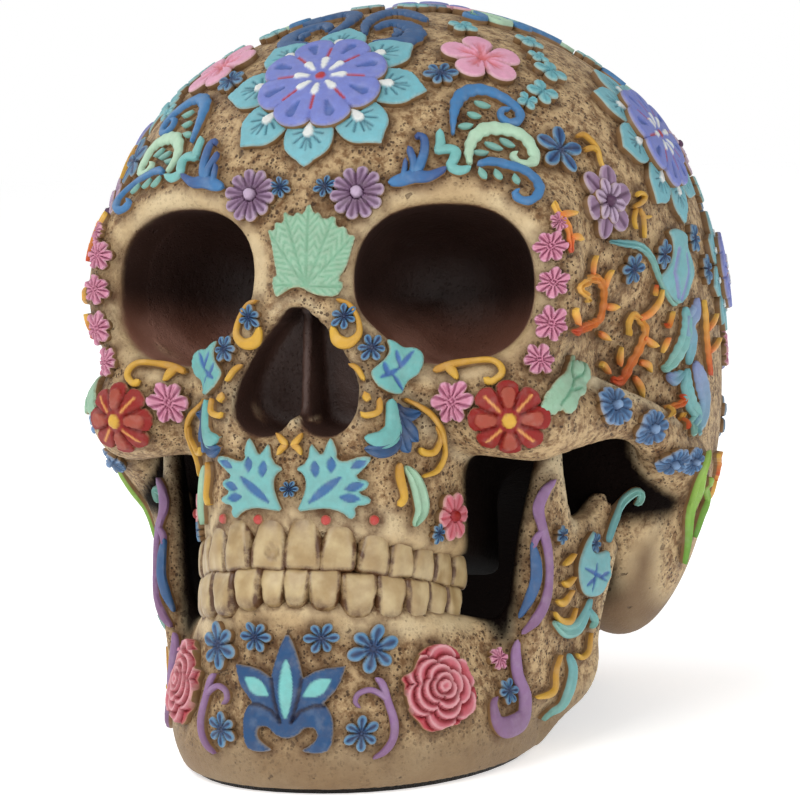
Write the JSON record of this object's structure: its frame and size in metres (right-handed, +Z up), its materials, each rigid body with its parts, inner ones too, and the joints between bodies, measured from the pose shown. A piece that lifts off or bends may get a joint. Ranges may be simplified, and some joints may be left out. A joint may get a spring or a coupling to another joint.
{
  "type": "sugar skull figurine",
  "caption": "Free-standing folk-art skull with closed jaws, bone-coloured ground and raised painted flowers, leaves and scrolls, resting on felt.",
  "frame": {"origin": "middle of the part's box in X and Y, on the table", "axes": "the face looks along -Y, +X is the side on the right of someone who looks at the face, +Z is up"},
  "size_m": [0.1304, 0.1626, 0.1465],
  "materials": {
    "bone": "matt painted resin with brown wash",
    "tooth": "satin painted resin",
    "felt": "black felt",
    "teal": "satin paint",
    "periwinkle": "satin paint",
    "mint": "satin paint",
    "mauve": "satin paint",
    "pink": "satin paint",
    "blue": "satin paint",
    "red": "satin paint",
    "rose": "satin paint",
    "violet": "satin paint",
    "orange": "satin paint",
    "sky": "satin paint",
    "green": "satin paint"
  },
  "bodies": {
    "root": {"cranium": "bone", "lower_jaw": "bone", "upper_teeth": "tooth", "lower_teeth": "tooth", "jaw_felt_pad": "felt", "rear_felt_pad": "felt", "forehead_flower_leaves": "teal", "forehead_flower_petals": "periwinkle", "side_flower_leaves_right": "teal", "side_flower_leaves_left": "teal", "side_flower_petals_right": "periwinkle", "side_flower_petals_left": "periwinkle", "nose_bridge_leaf": "mint", "brow_rosette_right": "mauve", "brow_rosette_left": "mauve", "pink_flower_right": "pink", "pink_flower_left": "pink", "forehead_scroll_right": "blue", "forehead_scroll_left": "blue", "temple_rosette_right": "mauve", "temple_rosette_left": "mauve", "temple_flame_right": "orange", "temple_flame_left": "orange", "temple_leaf_right": "sky", "temple_leaf_left": "sky", "mastoid_leaf_right": "green", "mastoid_leaf_left": "green", "orbit_rosette_right": "pink", "orbit_rosette_left": "pink", "cheek_flower_right": "red", "cheek_flower_left": "red", "cheek_leaf_right": "mint", "cheek_leaf_left": "mint", "cheek_rosette_right": "pink", "cheek_rosette_left": "pink", "arch_rosette_right": "blue", "arch_rosette_left": "blue", "nose_leaf_right": "teal", "nose_leaf_left": "teal", "tulip_right": "blue", "tulip_left": "blue", "lip_leaf_right": "teal", "lip_leaf_left": "teal", "upper_jaw_leaf_right": "mint", "upper_jaw_leaf_left": "mint", "chin_lily": "blue", "chin_rose_right": "rose", "chin_rose_left": "rose", "chin_star_right": "blue", "chin_star_left": "blue", "jaw_scroll_right": "violet", "jaw_scroll_left": "violet", "ramus_scroll_right": "violet", "ramus_scroll_left": "violet", "ramus_leaf_right": "teal", "ramus_leaf_left": "teal"}
  },
  "joints": []
}
